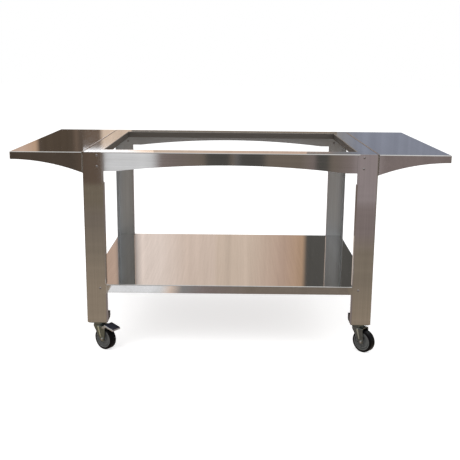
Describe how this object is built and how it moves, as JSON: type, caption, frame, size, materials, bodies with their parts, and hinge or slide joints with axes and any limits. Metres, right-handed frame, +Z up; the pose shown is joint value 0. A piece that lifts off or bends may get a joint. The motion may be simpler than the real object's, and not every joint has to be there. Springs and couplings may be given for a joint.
{
  "type": "pizza oven cart",
  "caption": "Stainless steel cart for a pizza oven: open arched deck on angle legs, side shelves, a lower shelf and four swivel casters, one with a pedal brake.",
  "frame": {"origin": "on the floor, under the middle of the whole cart's outline", "axes": "+X to the right along the cart's width, +Y from the front to the back, +Z up"},
  "size_m": [1.892, 1.0514, 0.9],
  "materials": {
    "stainless_sheet": "brushed along each sheet's length, satin, reflecting its surroundings in soft bands",
    "stainless_fastener": "plain bright stainless",
    "zinc_plate": "zinc plated pressed steel",
    "pedal_steel": "zinc plated pressed steel",
    "black_paint": "black powder coat",
    "wheel_core": "moulded dark grey plastic",
    "tyre_rubber": "black rubber, faintly dusty",
    "pedal_tread": "ribbed black plastic"
  },
  "bodies": {
    "cart_frame": {"front_left_leg": "stainless_sheet", "front_right_leg": "stainless_sheet", "back_left_leg": "stainless_sheet", "back_right_leg": "stainless_sheet", "front_apron": "stainless_sheet", "back_apron": "stainless_sheet", "left_side_rail": "stainless_sheet", "right_side_rail": "stainless_sheet", "left_side_shelf": "stainless_sheet", "right_side_shelf": "stainless_sheet", "lower_shelf": "stainless_sheet", "left_shelf_channel": "stainless_sheet", "right_shelf_channel": "stainless_sheet", "lower_shelf_front_channel": "stainless_sheet", "lower_shelf_back_channel": "stainless_sheet", "apron_bolts": "stainless_fastener", "apron_nuts": "stainless_fastener", "side_shelf_bolts": "stainless_fastener", "side_shelf_nuts": "stainless_fastener", "lower_shelf_bolts": "stainless_fastener", "lower_shelf_nuts": "stainless_fastener", "front_left_foot_bracket": "black_paint", "front_right_foot_bracket": "black_paint", "back_left_foot_bracket": "black_paint", "back_right_foot_bracket": "black_paint", "caster_bolts": "zinc_plate", "caster_nuts": "zinc_plate", "front_left_caster_plate": "zinc_plate", "front_right_caster_plate": "zinc_plate", "back_left_caster_plate": "zinc_plate", "back_right_caster_plate": "zinc_plate", "front_left_king_pin": "zinc_plate", "front_right_king_pin": "zinc_plate", "back_left_king_pin": "zinc_plate", "back_right_king_pin": "zinc_plate"},
    "front_left_swivel": {"front_left_fork": "zinc_plate", "front_left_axle": "stainless_fastener", "front_left_brake_pin": "zinc_plate"},
    "front_left_roller": {"front_left_wheel": "wheel_core", "front_left_tyre": "tyre_rubber"},
    "front_left_brake": {"front_left_brake_pedal": "pedal_steel", "front_left_pedal_tread": "pedal_tread"},
    "front_right_swivel": {"front_right_fork": "zinc_plate", "front_right_axle": "stainless_fastener"},
    "front_right_roller": {"front_right_wheel": "wheel_core", "front_right_tyre": "tyre_rubber"},
    "back_left_swivel": {"back_left_fork": "zinc_plate", "back_left_axle": "stainless_fastener"},
    "back_left_roller": {"back_left_wheel": "wheel_core", "back_left_tyre": "tyre_rubber"},
    "back_right_swivel": {"back_right_fork": "zinc_plate", "back_right_axle": "stainless_fastener"},
    "back_right_roller": {"back_right_wheel": "wheel_core", "back_right_tyre": "tyre_rubber"}
  },
  "joints": [
    {"name": "front_left_caster_swivel", "type": "hinge", "parent": "cart_frame", "child": "front_left_swivel", "pos_m": [-0.588, -0.44617, 0.134], "axis": [0, 0, 1], "continuous": true},
    {"name": "front_left_wheel_spin", "type": "hinge", "parent": "front_left_swivel", "child": "front_left_roller", "pos_m": [-0.56015, -0.46567, 0.051], "axis": [0.5736, 0.8192, 0], "continuous": true},
    {"name": "front_left_brake_press", "type": "hinge", "parent": "front_left_swivel", "child": "front_left_brake", "pos_m": [-0.55278, -0.47083, 0.106], "axis": [0.5736, 0.8192, 0], "range_deg": [0, 20]},
    {"name": "front_right_caster_swivel", "type": "hinge", "parent": "cart_frame", "child": "front_right_swivel", "pos_m": [0.588, -0.44617, 0.134], "axis": [0, 0, 1], "continuous": true},
    {"name": "front_right_wheel_spin", "type": "hinge", "parent": "front_right_swivel", "child": "front_right_roller", "pos_m": [0.61204, -0.47021, 0.051], "axis": [0.7071, 0.7071, 0], "continuous": true},
    {"name": "back_left_caster_swivel", "type": "hinge", "parent": "cart_frame", "child": "back_left_swivel", "pos_m": [-0.588, 0.47583, 0.134], "axis": [0, 0, 1], "continuous": true},
    {"name": "back_left_wheel_spin", "type": "hinge", "parent": "back_left_swivel", "child": "back_left_roller", "pos_m": [-0.56396, 0.45179, 0.051], "axis": [0.7071, 0.7071, 0], "continuous": true},
    {"name": "back_right_caster_swivel", "type": "hinge", "parent": "cart_frame", "child": "back_right_swivel", "pos_m": [0.588, 0.47583, 0.134], "axis": [0, 0, 1], "continuous": true},
    {"name": "back_right_wheel_spin", "type": "hinge", "parent": "back_right_swivel", "child": "back_right_roller", "pos_m": [0.61204, 0.45179, 0.051], "axis": [0.7071, 0.7071, 0], "continuous": true}
  ]
}
